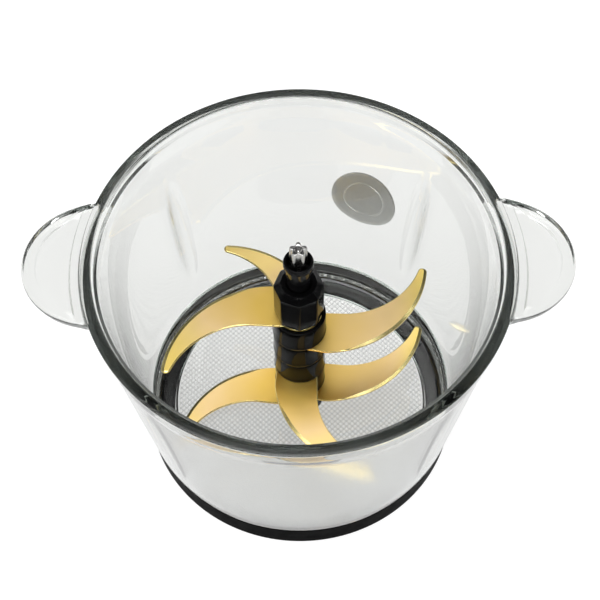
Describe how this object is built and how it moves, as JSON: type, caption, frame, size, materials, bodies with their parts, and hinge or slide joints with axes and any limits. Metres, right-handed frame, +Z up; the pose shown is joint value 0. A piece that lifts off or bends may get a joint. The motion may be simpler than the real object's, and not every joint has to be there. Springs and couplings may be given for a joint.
{
  "type": "food chopper bowl with blade set",
  "caption": "Clear glass chopper bowl with ear handles and an anti-slip foot ring, holding a lift-off set of curved gold-coloured blades on a spindle hub.",
  "frame": {"origin": "on the spindle's axis, at the surface that the foot ring stands on", "axes": "+Z up along the spindle, X through the two ear handles, the badge at the back on the +Y side"},
  "size_m": [0.23, 0.1806, 0.1343],
  "materials": {
    "glass": "clear pressed glass",
    "silicone": "satin",
    "badge": "satin",
    "steel": "turned",
    "seal": "matte",
    "bronze": "sintered",
    "black_plastic": "gloss",
    "gold_steel": "gold-coloured coating"
  },
  "bodies": {
    "bowl": {"glass_bowl": "glass", "base_ring": "silicone", "wall_badge": "badge", "center_pin": "steel", "pin_gasket_upper": "seal", "pin_gasket_lower": "seal", "pin_washer": "steel", "pin_screw": "steel"},
    "bearings": {"lower_bush": "bronze", "upper_bush": "bronze"},
    "blade_set": {"hub_core": "black_plastic", "spacer_1": "black_plastic", "spacer_2": "black_plastic", "spacer_3": "black_plastic", "spacer_4": "black_plastic", "spacer_5": "black_plastic", "clamp_nut": "black_plastic", "drive_collar": "black_plastic", "drive_spline": "steel", "blade_1": "gold_steel", "blade_2": "gold_steel", "blade_3": "gold_steel", "blade_4": "gold_steel", "blade_5": "gold_steel", "blade_6": "gold_steel"}
  },
  "joints": [
    {"name": "blade_lift_off", "type": "slide", "parent": "bowl", "child": "bearings", "axis": [0, 0, 1], "range_m": [0, 0.126]},
    {"name": "blade_spin", "type": "hinge", "parent": "bearings", "child": "blade_set", "pos_m": [0, 0, 0.05], "axis": [0, 0, 1], "continuous": true}
  ]
}
